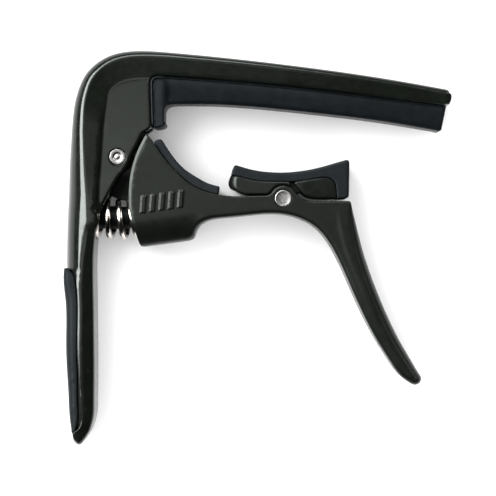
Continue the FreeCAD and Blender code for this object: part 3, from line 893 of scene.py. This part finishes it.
def turned_pin(name, centre, top, end, body, node):
    """A pin with the same turned end on both faces: end is (radius, z from the top)."""
    upper = [(r, top + z) for r, z in end]
    mesh = lathe(name, centre, [(r, -z) for r, z in upper] + upper[::-1])
    piece(mesh, body, node, STEEL, sharp=50)


def build_pins():
    """The hinge pin has a bright rim, a flat ring and a dished middle; the shoe pin is plain."""
    turned_pin("hinge_pin_turned", HINGE, TOP - PLATFORM_DROP + 0.02, [
        (0.0, -0.14), (0.2, -0.15), (0.34, -0.2), (0.42, -0.27), (0.7, -0.28), (0.86, -0.2),
        (0.95, -0.11), (1.2, -0.105), (1.42, -0.10), (1.48, 0.0), (1.54, -0.01), (1.64, -0.12),
        (1.69, -0.3), (1.7, -0.9)],
        "frame", "hinge_pin")
    turned_pin("rocker_pin_turned", SHOE_PIN, LEVER_TOP + 0.05, [
        (0.0, -0.1), (0.7, -0.1), (1.35, -0.07), (1.55, 0.0), (1.66, -0.02), (1.76, -0.12),
        (1.8, -0.3), (1.8, -0.9)], "lever", "rocker_pin")


COIL_R = COIL_OUTER_R - WIRE_R
PITCH, CLOSED_PITCH = 2.57, 1.35
FRONT_STRAND = 5.5                     # one strand crosses the upper face this far from the seat


def spring_path(s):
    """Centre and direction of the spring s mm from its seat, and where its bend ends.

    It is one arc from the seat to the mouth of the lever's bore, and goes straight down the bore.
    """
    radius = math.dist(SPRING_SEAT, BORE_MOUTH) / 2 / math.sin((BORE_RISE - SEAT_TURN) / 2)
    bend = radius * (BORE_RISE - SEAT_TURN)
    turn = SEAT_TURN + min(s, bend) / radius
    u = SPRING_SEAT[0] + radius * (math.sin(turn) - math.sin(SEAT_TURN))
    v = SPRING_SEAT[1] - radius * (math.cos(turn) - math.cos(SEAT_TURN))
    rest = max(0.0, s - bend)
    return (u + rest * math.cos(turn), v + rest * math.sin(turn)), turn, bend


def build_spring_guide():
    """A tapered guide from the seat into the coil, which keeps the spring in line."""
    length, root, tip, lift = 7.4, 2.55, 2.3, 0.33
    steps, count = 12, 40
    profile = [(root + (tip - root) * k / steps, length * k / steps) for k in range(steps + 1)]
    profile += [(tip - 0.15, length + 0.25), (tip - 0.5, length + 0.4), (0.7, length + 0.42)]
    verts = []
    for radius, s in profile:
        (u, v), turn, _ = spring_path(s)
        for k in range(count):
            angle = 2 * math.pi * k / count
            side, rise = lift + radius * math.cos(angle), radius * math.sin(angle)
            verts.append(place(u - math.sin(turn) * side, v + math.cos(turn) * side, rise))
    obj = shown(ring_mesh("spring_guide", verts, count), NYLON)
    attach(obj, "frame")


def build_spring():
    """A coil of round wire, with closed end turns, from the frame's seat to the bore's floor."""
    steps, sides = 900, 14
    margin = WIRE_R + 0.05
    s = np.linspace(margin, spring_path(0)[2] + BORE_DEPTH - margin, steps + 1)
    to_end = np.minimum(s - s[0], s[-1] - s)
    pitch = CLOSED_PITCH + (PITCH - CLOSED_PITCH) * smoothstep((to_end - 0.2) / 0.7)
    phase = np.cumsum(2 * math.pi * (s[1] - s[0]) / pitch)
    phase += math.pi / 2 - np.interp(FRONT_STRAND, s, phase)
    centres, wire = [], []
    for here, angle in zip(s, phase):
        (u, v), turn, _ = spring_path(here)
        across, rise = COIL_R * math.cos(angle), COIL_R * math.sin(angle)
        centres.append(Vector((u, v, 0)))
        wire.append(centres[-1] + Vector((-math.sin(turn) * across, math.cos(turn) * across, rise)))
    verts = []
    for i, p in enumerate(wire):
        ahead = (wire[min(i + 1, steps)] - wire[max(i - 1, 0)]).normalized()
        out = p - centres[i]
        out = (out - ahead * out.dot(ahead)).normalized()
        side = ahead.cross(out)
        for k in range(sides):
            turn = 2 * math.pi * k / sides
            verts.append(place(*(p + (out * math.cos(turn) + side * math.sin(turn)) * WIRE_R)))
    obj = shown(ring_mesh("coil_spring", verts, sides), NICKEL, sharp=60)
    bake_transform(obj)
    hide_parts("spring")


def dress_inner_pieces():
    """The bush and the washers stay as CAD made them, with their own materials."""
    inner = {"hinge_bush": BRONZE, "hinge_washer_upper": NYLON, "hinge_washer_lower": NYLON}
    for node, material in inner.items():
        for socket in frame["nodes"][node].material_slots:
            socket.material = material


# ---- stage -----------------------------------------------------------------------------------
CAMERA_HEIGHT = 0.4                    # metres above the middle of the thickness
TABLE_GAP = 0.0002                     # metres between the table and the capo


def build_stage():
    """A wide white table, an evenly pale room, five soft square lights and the camera.

    The room doesn't show in reflections. Four lights shape the capo, and the fifth the table.
    """
    scene = bpy.context.scene
    n = Nodes("pale_floor")
    n.shader.inputs["Base Color"].default_value = (0.92, 0.92, 0.92, 1)
    n.shader.inputs["Emission Color"].default_value = (1, 1, 1, 1)
    n.shader.inputs["Emission Strength"].default_value = 0.03
    n.shader.inputs["Roughness"].default_value = 0.9
    bpy.ops.mesh.primitive_plane_add(size=6, location=(0, 0, -TABLE_GAP))
    floor = bpy.context.object
    floor.name = "floor"
    floor.data.materials.append(n.material)
    world = bpy.data.worlds.new("soft_room")
    world.use_nodes = True
    room = world.node_tree.nodes["Background"]
    room.inputs["Color"].default_value = (1, 1, 1, 1)
    room.inputs["Strength"].default_value = 1.6
    world.cycles_visibility.glossy = False
    scene.world = world
    lights = [soft_light("key", azimuth=160, from_zenith=46, size=0.62, radiance=24.0),
              soft_light("top_light", azimuth=105, from_zenith=48, size=0.5, radiance=12.5),
              soft_light("right_fill", azimuth=42, from_zenith=50, size=0.5, radiance=4.5),
              soft_light("overhead", azimuth=174, from_zenith=6.4, size=0.25, radiance=2.15)]
    table_light = soft_light("table_light", azimuth=140, from_zenith=42, size=0.6, radiance=7.0)
    link_lights(lights, floor, "EXCLUDE")
    link_lights([table_light], floor, "INCLUDE")
    camera = bpy.data.cameras.new("camera")
    camera.sensor_width = 36
    camera.lens = 138
    camera.clip_start = 0.01
    view = bpy.data.objects.new("camera", camera)
    view.location = place(27.5, -19.1) + Vector((0, 0, CAMERA_HEIGHT))
    scene.collection.objects.link(view)
    scene.camera = view
    scene.view_settings.view_transform = "Standard"


def link_lights(lights, obj, state):
    """Make lights leave one object out, or light nothing else, so the table isn't overexposed."""
    group = bpy.data.collections.new("table_" + state.lower())
    group.objects.link(obj)
    group.collection_objects[0].light_linking.link_state = state
    for light in lights:
        light.light_linking.receiver_collection = group


def soft_light(name, azimuth, from_zenith, size, radiance, distance=0.9):
    """A square light aimed at the capo, in the direction given by its azimuth and zenith angle."""
    light = bpy.data.lights.new(name, "AREA")
    light.shape = "SQUARE"
    light.size = size
    light.energy = radiance * math.pi * size ** 2
    obj = bpy.data.objects.new(name, light)
    turn, lean = math.radians(azimuth), math.radians(from_zenith)
    flat = math.sin(lean)
    away = Vector((math.cos(turn) * flat, math.sin(turn) * flat, math.cos(lean)))
    obj.location = away * distance
    obj.rotation_euler = away.to_track_quat("Z", "Y").to_euler()
    bpy.context.scene.collection.objects.link(obj)
    return obj


build_stage()
build_frame()
build_lever()
build_tongue()
build_string_pad()
build_grip()
build_grip_rib()
build_lever_pad()
build_rocker()
build_rocker_pad()
build_pins()
build_spring_guide()
build_spring()
dress_inner_pieces()

bpy.context.view_layer.update()
